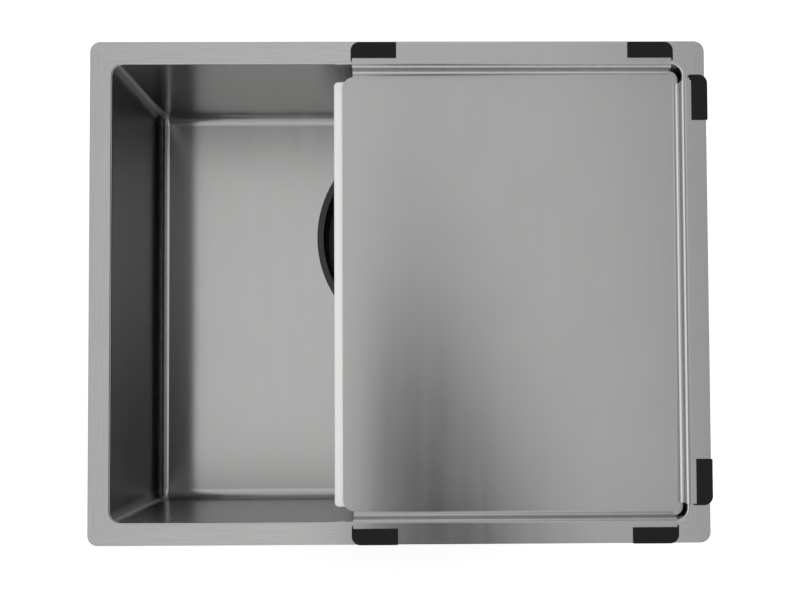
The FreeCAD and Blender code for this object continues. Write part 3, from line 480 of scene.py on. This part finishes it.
# %% Damping pads
lozenge = 8 * mm
groove_share = 0.3
pad_bitumen = moulded("embossed_bitumen_sheet", "#2B2B2C", roughness=0.80, grain=1.0 * mm, depth=0.05 * mm,
                      clouds=0.15)
tree, shader, place = inside(pad_bitumen)
parts = add_node(tree, "ShaderNodeSeparateXYZ", {}, {"Vector": place})
along = add_node(tree, "ShaderNodeMath", {"operation": "ADD"}, {0: parts.outputs["X"], 1: parts.outputs["Y"]})
ridges = []
for sign in (1.0, -1.0):
    slope = add_node(tree, "ShaderNodeMath", {"operation": "MULTIPLY_ADD"},
                     {0: parts.outputs["Z"], 1: sign, 2: along.outputs[0]})
    turn = add_node(tree, "ShaderNodeMath", {"operation": "MULTIPLY"},
                    {0: slope.outputs[0], 1: math.pi / lozenge})
    wave = add_node(tree, "ShaderNodeMath", {"operation": "SINE"}, {0: turn.outputs[0]})
    ridge = add_node(tree, "ShaderNodeMath", {"operation": "ABSOLUTE"}, {0: wave.outputs[0]})
    ridges.append(ridge.outputs[0])
raised = add_node(tree, "ShaderNodeMath", {"operation": "MINIMUM"}, {0: ridges[0], 1: ridges[1]})
rolled = add_node(tree, "ShaderNodeMapRange", {},
                  {0: raised.outputs[0], 1: 0.0, 2: groove_share, 3: 0.0, 4: 1.0})
emboss = add_node(tree, "ShaderNodeBump", {},
                  {"Strength": 0.7, "Distance": 0.5 * mm, "Height": rolled.outputs[0]})
tree.links.new(emboss.outputs[0], shader.inputs["Normal"])
dress("pad_rubber", pad_bitumen)

# %% [markdown]
# Now the small pieces. Each new piece is a mesh at the origin with its place in its points, like the
# solids. It rides on a body, it wears the material of its finish, and it stands in for the plain solid of the
# same piece. One function turns a finished bmesh into such a piece.

# %% Make a piece from a mesh
def make_piece(name, shape, material, body, stands_for):
    """An object from a bmesh: dressed, riding on its body and standing for a node."""
    bmesh.ops.recalc_face_normals(shape, faces=shape.faces)
    mesh = bpy.data.meshes.new(name)
    shape.to_mesh(mesh)
    shape.free()
    mesh.materials.append(material)
    piece = bpy.data.objects.new(name, mesh)
    bpy.context.scene.collection.objects.link(piece)
    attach(piece, body)
    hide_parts(stands_for)
    low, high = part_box(stands_for)
    print(name, "has", len(mesh.polygons), "faces, and its node measures",
          [round((b - a) / mm, 1) for a, b in zip(low, high)], "mm")


# %% [markdown]
# A thread is a V-shaped ridge that climbs one pitch with each turn. It could be cut with a boolean, which
# is slow and breaks easily. Spinning the V about the axis while it climbs a little with each step gives the
# same ridge cleanly. The ridge sits on a plain core, as if it had been rolled on.

# %% Threads
thread_steps = 20
thread_depth = 0.6
root_overlap = 1.2


def add_thread(shape, centre, bottom, top, crest, pitch):
    """A helical ridge round an upright axis, its crest at a radius, from one level up to another."""
    root = crest - root_overlap * thread_depth * pitch
    turns = (top - bottom - pitch) / pitch
    corners = [shape.verts.new((centre[0] + radius, centre[1], bottom + height))
               for radius, height in ((root, 0.0), (crest, pitch / 2), (root, pitch))]
    profile = shape.faces.new(corners)
    steps = max(4, round(turns * thread_steps))
    bmesh.ops.spin(shape, geom=[profile] + corners + list(profile.edges), cent=(centre[0], centre[1], 0),
                   axis=(0, 0, 1), dvec=(0, 0, turns * pitch / steps), angle=turns * 2 * math.pi, steps=steps,
                   use_merge=False, use_duplicate=False)


# %% [markdown]
# A stud's core is a rod with a small chamfer at both ends. The chamfer is a bevel of the two edge loops
# that bound the caps, which are the only faces with more than four corners.

# %% Rods
rod_sides = 28
rod_chamfer = 0.3 * mm


def add_rod(shape, centre, bottom, top, radius):
    """An upright rod with a small chamfer at both ends."""
    middle = Matrix.Translation((centre[0], centre[1], (bottom + top) / 2))
    made = bmesh.ops.create_cone(shape, cap_ends=True, segments=rod_sides, radius1=radius, radius2=radius,
                                 depth=top - bottom, matrix=middle)
    rims = {edge for vert in made["verts"] for edge in vert.link_edges if len(edge.link_faces) == 2
            and any(len(face.verts) > 4 for face in edge.link_faces)}
    bmesh.ops.bevel(shape, geom=list(rims), offset=rod_chamfer, offset_type="OFFSET", segments=1, profile=0.5,
                    affect="EDGES", material=-1)


# %% [markdown]
# The outlet tail is the moulded tube to which a trap is screwed. Its lower end has a coarse pipe thread: 11
# ridges to the inch, so a pitch of 2.3 mm. The tube's wall is a section that is spun once round the axis.
# The section is drawn point by point along the outside, down past the flange, the neck and the undercut to
# the end, and back up the bore.

# %% The section of the outlet tail
tail_low, tail_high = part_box("outlet_tail")
foot, crown = tail_low[2], tail_high[2]
tail_pitch = 25.4 * mm / 11
tail_crest = 23.9 * mm
tail_root = tail_crest - thread_depth * tail_pitch
bore = 20.0 * mm
flange = (tail_high[0] - tail_low[0]) / 2
flange_edge = 0.6 * mm
flange_under = crown - 2.4 * mm
neck = 24.6 * mm
neck_end = foot + 29 * mm
undercut = 23.0 * mm
undercut_end = foot + 27 * mm
thread_start = foot + 1 * mm
thread_end = foot + 26 * mm
lead_in = 0.8 * mm
tail_section = [(bore, crown), (flange - flange_edge, crown), (flange, crown - flange_edge),
                (flange, flange_under), (neck, flange_under), (neck, neck_end), (undercut, neck_end),
                (undercut, undercut_end), (tail_root, thread_end), (tail_root, foot + lead_in),
                (tail_root - lead_in, foot), (bore, foot)]
print("tail", round((crown - foot) / mm, 1), "mm long, thread pitch", round(tail_pitch / mm, 2), "mm")

# %% [markdown]
# The closed ring is spun in 96 steps, fine enough for a round of 50 mm, and its first and last sections are
# merged. It stands on the axis of the waste, which is the middle of the collar.

# %% The outlet tail with its thread
collar_low, collar_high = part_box("waste_collar")
waste = ((collar_low[0] + collar_high[0]) / 2, (collar_low[1] + collar_high[1]) / 2)
ring_steps = 96


def spun_ring(shape, section, centre):
    """A closed ring from a section of (radius, height) points, spun once round an upright axis."""
    points = [shape.verts.new((centre[0] + radius, centre[1], height)) for radius, height in section]
    edges = [shape.edges.new((point, follower)) for point, follower in zip(points, points[1:] + points[:1])]
    bmesh.ops.spin(shape, geom=points + edges, cent=(centre[0], centre[1], 0), axis=(0, 0, 1), dvec=(0, 0, 0),
                   angle=2 * math.pi, steps=ring_steps, use_merge=True, use_duplicate=False)
    bmesh.ops.remove_doubles(shape, verts=shape.verts, dist=0.001 * mm)


shape = bmesh.new()
spun_ring(shape, tail_section, waste)
add_thread(shape, waste, thread_start, thread_end, tail_crest, tail_pitch)
make_piece("threaded_outlet_tail", shape, plastics["pot_plastic"], "root", "outlet_tail")

# %% [markdown]
# A real nut isn't a plain hexagon: its corners are turned off at about 30 degrees, which leaves the curved
# edges that catch the light. Here each nut is six loops of points that are bridged in turn. A loop point
# that stands further out than the chamfer's start is moved down in proportion, which draws those curves by
# itself.

# %% Hexagon nuts
nut_points = 36
face_share = 0.47
chamfer_slope = math.tan(math.radians(30))


def add_loop(shape, centre, level, across_flats, bore_radius, kind, side):
    """One loop of a nut: on its bore, on the edge of its face, or round its flats."""
    loop = bmesh.ops.create_circle(shape, cap_ends=False, segments=nut_points, radius=1.0)["verts"]
    face_radius = face_share * across_flats
    for point in loop:
        angle = math.atan2(point.co.y, point.co.x)
        from_flat = (angle % (math.pi / 3)) - math.pi / 6
        corner = across_flats / 2 / math.cos(from_flat)
        radius = {"bore": bore_radius, "face": face_radius, "flats": corner}[kind]
        drop = (corner - face_radius) * chamfer_slope if kind == "flats" else 0.0
        point.co = Vector((centre[0] + radius * math.cos(angle), centre[1] + radius * math.sin(angle),
                           level - side * drop))
    return list({edge for point in loop for edge in point.link_edges})


def add_nut(shape, centre, bottom, top, across_flats, bore_radius):
    """A chamfered hexagon nut with an upright axis."""
    loops = [add_loop(shape, centre, level, across_flats, bore_radius, kind, side)
             for level, kind, side in ((bottom, "bore", -1), (bottom, "face", -1), (bottom, "flats", -1),
                                       (top, "flats", 1), (top, "face", 1), (top, "bore", 1))]
    for first, second in zip(loops, loops[1:] + loops[:1]):
        bmesh.ops.bridge_loops(shape, edges=first + second)


# %% [markdown]
# Eight studs are welded in a circle under the floor, 9.1 mm outside the hole, and hold the collar with M5
# nuts. Six M4 studs under the bed of the tray hold the board, 30 mm in from its edges. Their places follow
# from the boxes of the collar and of the board.

# %% The places of the studs
circle = 122.5 * mm
studs_round = 8
turns = [math.radians(360 / studs_round * (index + 0.5)) for index in range(studs_round)]
collar_places = [(waste[0] + circle * math.cos(turn), waste[1] + circle * math.sin(turn)) for turn in turns]
board_low, board_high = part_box("tray_board")
inset = 30 * mm
columns = (board_low[0] + inset, (board_low[0] + board_high[0]) / 2, board_high[0] - inset)
board_places = [(x, y) for x in columns for y in (board_low[1] + inset, board_high[1] - inset)]
print(len(collar_places), "studs round the waste,", len(board_places), "under the tray")

# %% [markdown]
# The same two steps make the collar's hardware and the board's, so each is a function: a nut at every
# place, or a stud at every place, between the lowest and highest level of the plain solids. The studs are
# cores with a rolled thread on their free ends only, where it shows.

# %% A set of nuts, a set of studs
def set_of_nuts(places, box, across_flats, bore_radius):
    """Nuts at these places, as high as a box."""
    shape = bmesh.new()
    for centre in places:
        add_nut(shape, centre, box[0][2], box[1][2], across_flats, bore_radius)
    return shape


def set_of_studs(places, box, core, crest, pitch, thread_start, thread_end):
    """Studs at these places, as high as a box, threaded between two heights over its lowest level."""
    shape = bmesh.new()
    for centre in places:
        add_rod(shape, centre, box[0][2], box[1][2], core)
        add_thread(shape, centre, box[0][2] + thread_start, box[0][2] + thread_end, crest, pitch)
    return shape


# %% [markdown]
# An M5 nut is 8 mm across its flats and an M4 nut 7 mm, and their threads climb 0.8 and 0.7 mm with each
# turn. The bores of the nuts stay a little wider than the crests of the threads, so that no two faces
# touch.

# %% Studs and nuts
shape = set_of_nuts(collar_places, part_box("collar_nuts"), across_flats=8.0 * mm, bore_radius=2.56 * mm)
make_piece("collar_hexagon_nuts", shape, small_steel, "root", "collar_nuts")
shape = set_of_studs(collar_places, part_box("collar_studs"), core=2.1 * mm, crest=2.5 * mm, pitch=0.8 * mm,
                     thread_start=0.3 * mm, thread_end=8.0 * mm)
make_piece("threaded_collar_studs", shape, small_steel, "root", "collar_studs")
shape = set_of_nuts(board_places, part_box("board_nuts"), across_flats=7.0 * mm, bore_radius=2.06 * mm)
make_piece("board_hexagon_nuts", shape, small_steel, "tray_body", "board_nuts")
shape = set_of_studs(board_places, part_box("board_studs"), core=1.65 * mm, crest=2.0 * mm, pitch=0.7 * mm,
                     thread_start=0.2 * mm, thread_end=6.0 * mm)
make_piece("threaded_board_studs", shape, small_steel, "tray_body", "board_studs")

# %% [markdown]
# The two overflow screws have a low dome with a cross recess. A grid is bent to a disc, because its rows
# and columns already hold the cross. The faces of the cross are then pushed in and narrowed, as the
# driver's tip is tapered, and the edge of the disc is drawn down to a flat underside. The sizes of the
# cross are shares of half the grid.

# %% The head of an overflow screw
screw_low, screw_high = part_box("overflow_screws")
head_radius = (screw_high[2] - screw_low[2]) / 2
head_height = 2.0 * mm
edge_share = 0.35
cross_width = 0.05
cross_reach = 0.6
cross_taper = 0.75
cross_depth = 0.45 * head_height
print("screw heads", round(2 * head_radius / mm, 1), "mm wide, cross", round(cross_depth / mm, 1), "mm deep")


def screw_head():
    """A domed head with a cross recess, looking up from the origin."""
    head = bmesh.new()
    bmesh.ops.create_grid(head, x_segments=11, y_segments=11, size=1.0)
    cross = []
    for face in head.faces:
        centre = face.calc_center_median()
        near, far = sorted((abs(centre.x), abs(centre.y)))
        if near < cross_width and far < cross_reach:
            cross.append(face)
    for point in head.verts:
        u, v = point.co.x, point.co.y
        disc = Vector((u * math.sqrt(1 - v * v / 2), v * math.sqrt(1 - u * u / 2)))
        dome = edge_share + (1 - edge_share) * math.sqrt(max(0.0, 1 - disc.length_squared))
        point.co = Vector((disc.x * head_radius, disc.y * head_radius, head_height * dome))
    pushed = bmesh.ops.extrude_face_region(head, geom=cross)["geom"]
    sunk = [item for item in pushed if isinstance(item, bmesh.types.BMVert)]
    bmesh.ops.delete(head, geom=cross, context="FACES")
    bmesh.ops.scale(head, verts=sunk, vec=(cross_taper, cross_taper, 1.0))
    bmesh.ops.translate(head, verts=sunk, vec=(0, 0, -cross_depth))
    rim = [edge for edge in head.edges if edge.is_boundary]
    wall = bmesh.ops.extrude_edge_only(head, edges=rim)["geom"]
    for point in (item for item in wall if isinstance(item, bmesh.types.BMVert)):
        point.co.z = 0.0
    bmesh.ops.holes_fill(head, edges=[edge for edge in head.edges if edge.is_boundary], sides=0)
    return head


# %% [markdown]
# The head is turned to look to the front and set on the overflow plate, and a shank that narrows a little
# runs to the back of it. A bmesh can't be added to another one, so the head goes through a mesh that is
# then removed.

# %% Overflow screws
plate_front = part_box("overflow_plate")[0][1]
shank_end = screw_high[1]
screw_level = (screw_low[2] + screw_high[2]) / 2


def add_screw(shape, x):
    """One screw whose head looks to the front and whose shank runs to the back."""
    head = screw_head()
    bmesh.ops.rotate(head, verts=head.verts, cent=(0, 0, 0), matrix=Matrix.Rotation(math.radians(90), 3, "X"))
    bmesh.ops.translate(head, verts=head.verts, vec=(x, plate_front, screw_level))
    made = bpy.data.meshes.new("screw_head")
    head.to_mesh(made)
    head.free()
    shape.from_mesh(made)
    bpy.data.meshes.remove(made)
    bmesh.ops.create_cone(shape, cap_ends=True, segments=24, radius1=2.0 * mm, radius2=1.6 * mm,
                          depth=shank_end - plate_front,
                          matrix=Matrix.Translation((x, (plate_front + shank_end) / 2, screw_level))
                          @ Matrix.Rotation(math.radians(-90), 4, "X"))


shape = bmesh.new()
for x in (screw_low[0] + head_radius, screw_high[0] - head_radius):
    add_screw(shape, x)
make_piece("overflow_cross_screws", shape, small_steel, "root", "overflow_screws")

# %% [markdown]
# The studio is a white room. The floor is a pale sheet under the sink. It glows a little for the camera
# alone, so that it shows as the white background of a catalogue picture while it keeps the sink's soft
# shadow.

# %% The floor
floor_reach = 6.0
floor_gap = 1 * mm
floor_glow = 0.35
floor_mesh = bpy.data.meshes.new("studio_floor")
floor = bpy.data.objects.new("studio_floor", floor_mesh)
bpy.context.scene.collection.objects.link(floor)
sheet = bmesh.new()
bmesh.ops.create_grid(sheet, x_segments=1, y_segments=1, size=floor_reach)
bmesh.ops.translate(sheet, verts=sheet.verts, vec=(0.0, 0.0, cad_box[0][2] - floor_gap))
sheet.to_mesh(floor_mesh)
sheet.free()
floor_white = start_material("pale_paper_floor", "#F2F2F2", metallic=0.0, roughness=0.8)
tree = floor_white.node_tree
shader = tree.nodes["Principled BSDF"]
seen = add_node(tree, "ShaderNodeLightPath").outputs["Is Camera Ray"]
glow = add_node(tree, "ShaderNodeMath", {"operation": "MULTIPLY"}, {0: seen, 1: floor_glow})
shader.inputs["Emission Color"].default_value = (1.0, 1.0, 1.0, 1.0)
tree.links.new(glow.outputs[0], shader.inputs["Emission Strength"])
floor_mesh.materials.append(floor_white)
print("floor", round((cad_box[1][2] - cad_box[0][2] + floor_gap) / mm), "mm below the top of the sink")

# %% [markdown]
# Plastic and paper are lit by an even white sky, at a level where a colour renders as it is written. Steel
# has no colour of its own and shows what it mirrors, so what stands round it matters more than its
# material. A studio for steel therefore has a broad soft panel overhead, darker walls, and bright strips
# low round the room that draw the light lines along the folds. Glossy rays alone see these.
#
# The panel is a curve over the distance from the point overhead, longer in Y than in X. The strips are a
# curve over the height of the ray, stronger on the left and at the front, and they reach less high on the
# right.

# %% The values of the studio
panel_middle = (-0.06, 0.01, 0.0)
panel_shape = (1.0, 0.51, 0.0)
panel_curve = ((0.0, 0.57), (1.0, 0.18), (0.20, 0.545), (0.31, 0.46), (0.45, 0.22), (0.70, 0.16))
strip_curve = ((0.0, 0.62), (1.0, 0.0), (0.25, 0.58), (0.45, 0.36), (0.62, 0.04))
strip_lean = (0.20, 0.0, 0.0)
strip_sides = (-0.35, -0.25, 0.0)
studio_level = 1.385


def set_curve(node, points):
    """Puts points on a float curve that starts with two."""
    curve = node.mapping.curves[0]
    for index, (x, y) in enumerate(points):
        if index < 2:
            curve.points[index].location = (x, y)
        else:
            curve.points.new(x, y)
    node.mapping.update()


print("panel", round(panel_curve[0][1] * studio_level, 2), "overhead, strips",
      round(strip_curve[0][1] * studio_level, 2), "near the floor")

# %% [markdown]
# The direction of a ray comes from the world's Generated coordinates. The panel and the strips are added
# up, and a mix by the kind of ray gives steel the studio and everything else the even sky.

# %% The studio that steel mirrors
world = bpy.data.worlds.new("studio")
bpy.context.scene.world = world
world.use_nodes = True
tree = world.node_tree
background = tree.nodes["Background"]
background.inputs["Color"].default_value = (1.0, 1.0, 1.0, 1.0)
way = add_node(tree, "ShaderNodeTexCoord").outputs["Generated"]
off = add_node(tree, "ShaderNodeVectorMath", {"operation": "SUBTRACT"}, {0: way, 1: panel_middle})
shaped = add_node(tree, "ShaderNodeVectorMath", {"operation": "MULTIPLY"},
                  {0: off.outputs[0], 1: panel_shape})
distance = add_node(tree, "ShaderNodeVectorMath", {"operation": "LENGTH"}, {0: shaped.outputs[0]})
panel = add_node(tree, "ShaderNodeFloatCurve", {}, {"Value": distance.outputs["Value"]})
set_curve(panel, panel_curve)
split = add_node(tree, "ShaderNodeSeparateXYZ", {}, {"Vector": way})
lean = add_node(tree, "ShaderNodeVectorMath", {"operation": "DOT_PRODUCT"}, {0: way, 1: strip_lean})
height = add_node(tree, "ShaderNodeMath", {"operation": "ADD", "use_clamp": True},
                  {0: split.outputs["Z"], 1: lean.outputs["Value"]})
strip = add_node(tree, "ShaderNodeFloatCurve", {}, {"Value": height.outputs[0]})
set_curve(strip, strip_curve)
sides = add_node(tree, "ShaderNodeVectorMath", {"operation": "DOT_PRODUCT"}, {0: way, 1: strip_sides})
more = add_node(tree, "ShaderNodeMath", {"operation": "ADD"}, {0: sides.outputs["Value"], 1: 1.0})
strips = add_node(tree, "ShaderNodeMath", {"operation": "MULTIPLY"},
                  {0: strip.outputs[0], 1: more.outputs[0]})
both = add_node(tree, "ShaderNodeMath", {"operation": "ADD"}, {0: strips.outputs[0], 1: panel.outputs[0]})
level = add_node(tree, "ShaderNodeMath", {"operation": "MULTIPLY"}, {0: both.outputs[0], 1: studio_level})
glossy = add_node(tree, "ShaderNodeLightPath").outputs["Is Glossy Ray"]
strength = add_node(tree, "ShaderNodeMix", {"data_type": "FLOAT"}, {0: glossy, 2: 1.0, 3: level.outputs[0]})
tree.links.new(strength.outputs[0], background.inputs["Strength"])

# %% [markdown]
# A soft dark streak lies over the front of the tray and of the rim, where the steel mirrors something dark
# above it. A dark card over the front of the sink gives that streak. It widens to the front, so each of its
# rows has a place in Y and a left and right end. It fades out at both sides, because the streak has no hard
# edge, and a curve over its own UV map gives that. Neither the camera nor soft light sees the card, and it
# casts no shadow.

# %% The dark card
card_height = 1.05
card_rows = ((-0.80, -0.17, 0.60), (-0.27, -0.147, 0.32), (-0.10, -0.11, 0.19), (-0.02, -0.08, 0.13))
card_fade = ((0.0, 0.0), (1.0, 0.0), (0.16, 0.35), (0.34, 1.0), (0.55, 0.97), (0.80, 0.36))
last_row = len(card_rows) - 1
card_mesh = bpy.data.meshes.new("dark_card")
card = bpy.data.objects.new("dark_card", card_mesh)
bpy.context.scene.collection.objects.link(card)
sheet = bmesh.new()
sheet.loops.layers.uv.new("across")
bmesh.ops.create_grid(sheet, x_segments=8, y_segments=last_row, size=0.5, calc_uvs=True)
for corner in sheet.verts:
    y, left, right = card_rows[round((corner.co.y + 0.5) * last_row)]
    corner.co = Vector((left + (right - left) * (corner.co.x + 0.5), y, card_height))
sheet.to_mesh(card_mesh)
sheet.free()
card.visible_camera = False
card.visible_diffuse = False
card.visible_shadow = False
print("dark card", card_height, "m above the rim")

# %% [markdown]
# The card's paint is plain dark grey. It is mixed with a transparent shader, so that its sides let the
# panel through.

# %% The card's soft edge
grey_card = start_material("dark_grey_card", "#2C2C2C", metallic=0.0, roughness=1.0)
tree = grey_card.node_tree
across = add_node(tree, "ShaderNodeUVMap", {"uv_map": "across"}).outputs["UV"]
share = add_node(tree, "ShaderNodeSeparateXYZ", {}, {"Vector": across})
dense = add_node(tree, "ShaderNodeFloatCurve", {}, {"Value": share.outputs["X"]})
set_curve(dense, card_fade)
clear = add_node(tree, "ShaderNodeBsdfTransparent")
paint = tree.nodes["Principled BSDF"]
veil = add_node(tree, "ShaderNodeMixShader", {},
                {0: dense.outputs[0], 1: clear.outputs[0], 2: paint.outputs[0]})
tree.links.new(veil.outputs[0], tree.nodes["Material Output"].inputs["Surface"])
card_mesh.materials.append(grey_card)

# %% [markdown]
# The camera looks almost straight down from about a metre above the rim. Its place and turns come from
# fitting the corners of the rim and of the floor in the photograph, and the small shift keeps the sink
# where it is in the frame. The view transform is Standard, so that colours render as they are written.

# %% The camera
camera_data = bpy.data.cameras.new("photo_camera")
camera = bpy.data.objects.new("photo_camera", camera_data)
bpy.context.scene.collection.objects.link(camera)
camera.location = (0.0020721, -0.0766464, 0.99797)
camera.rotation_euler = (0.0376, -0.0111, -0.0046)
camera_data.sensor_width = 36.0
camera_data.lens = 51.48
camera_data.shift_x = -0.01787
camera_data.shift_y = 0.0447
camera_data.dof.use_dof = False
bpy.context.scene.camera = camera
bpy.context.scene.view_settings.view_transform = "Standard"
print("camera", round(camera.location.z, 3), "m above the rim")
